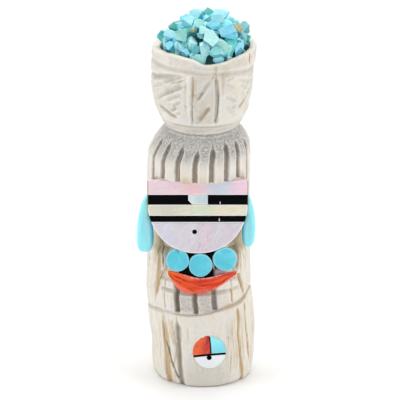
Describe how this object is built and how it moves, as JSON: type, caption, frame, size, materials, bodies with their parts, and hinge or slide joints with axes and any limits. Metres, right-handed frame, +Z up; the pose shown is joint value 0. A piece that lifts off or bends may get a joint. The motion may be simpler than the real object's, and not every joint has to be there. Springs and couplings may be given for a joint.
{
  "type": "fetish carving",
  "caption": "Small standing maiden carved from a length of antler, with an inlaid mask face, drop earrings, a necklace, a round sun inlay and on her head a water jar of turquoise chips.",
  "frame": {"origin": "middle of the flat underside that the carving stands on", "axes": "+Z up to the heap of chips, -Y the side the face looks to, +X the viewer's right when facing the carving"},
  "size_m": [0.031, 0.0279, 0.1004],
  "materials": {
    "antler": "carved, sanded and bleached antler, matt",
    "turquoise": "polished blue turquoise",
    "chip_turquoise": "crushed blue and green turquoise, unpolished",
    "coral": "polished orange-red coral",
    "jet": "polished black jet",
    "pink_shell": "polished pink mother-of-pearl",
    "gold_shell": "polished gold-lip mother-of-pearl",
    "white_shell": "polished white mother-of-pearl"
  },
  "bodies": {
    "root": {"antler_body": "antler", "face_forehead": "pink_shell", "face_brow_left": "jet", "face_brow_right": "jet", "face_nose": "white_shell", "face_cheek_band": "gold_shell", "face_lip_bar": "jet", "face_chin": "pink_shell", "face_mouth": "jet", "earring_left": "turquoise", "earring_right": "turquoise", "necklace_disc_left": "turquoise", "necklace_disc_middle": "turquoise", "necklace_disc_right": "turquoise", "necklace_backing": "jet", "coral_crescent": "coral", "sun_coral_quarter": "coral", "sun_turquoise_quarter": "turquoise", "sun_shell_half": "white_shell", "sun_bar": "jet", "sun_divider": "jet", "sun_dot": "jet", "turquoise_chips": "chip_turquoise"}
  },
  "joints": []
}
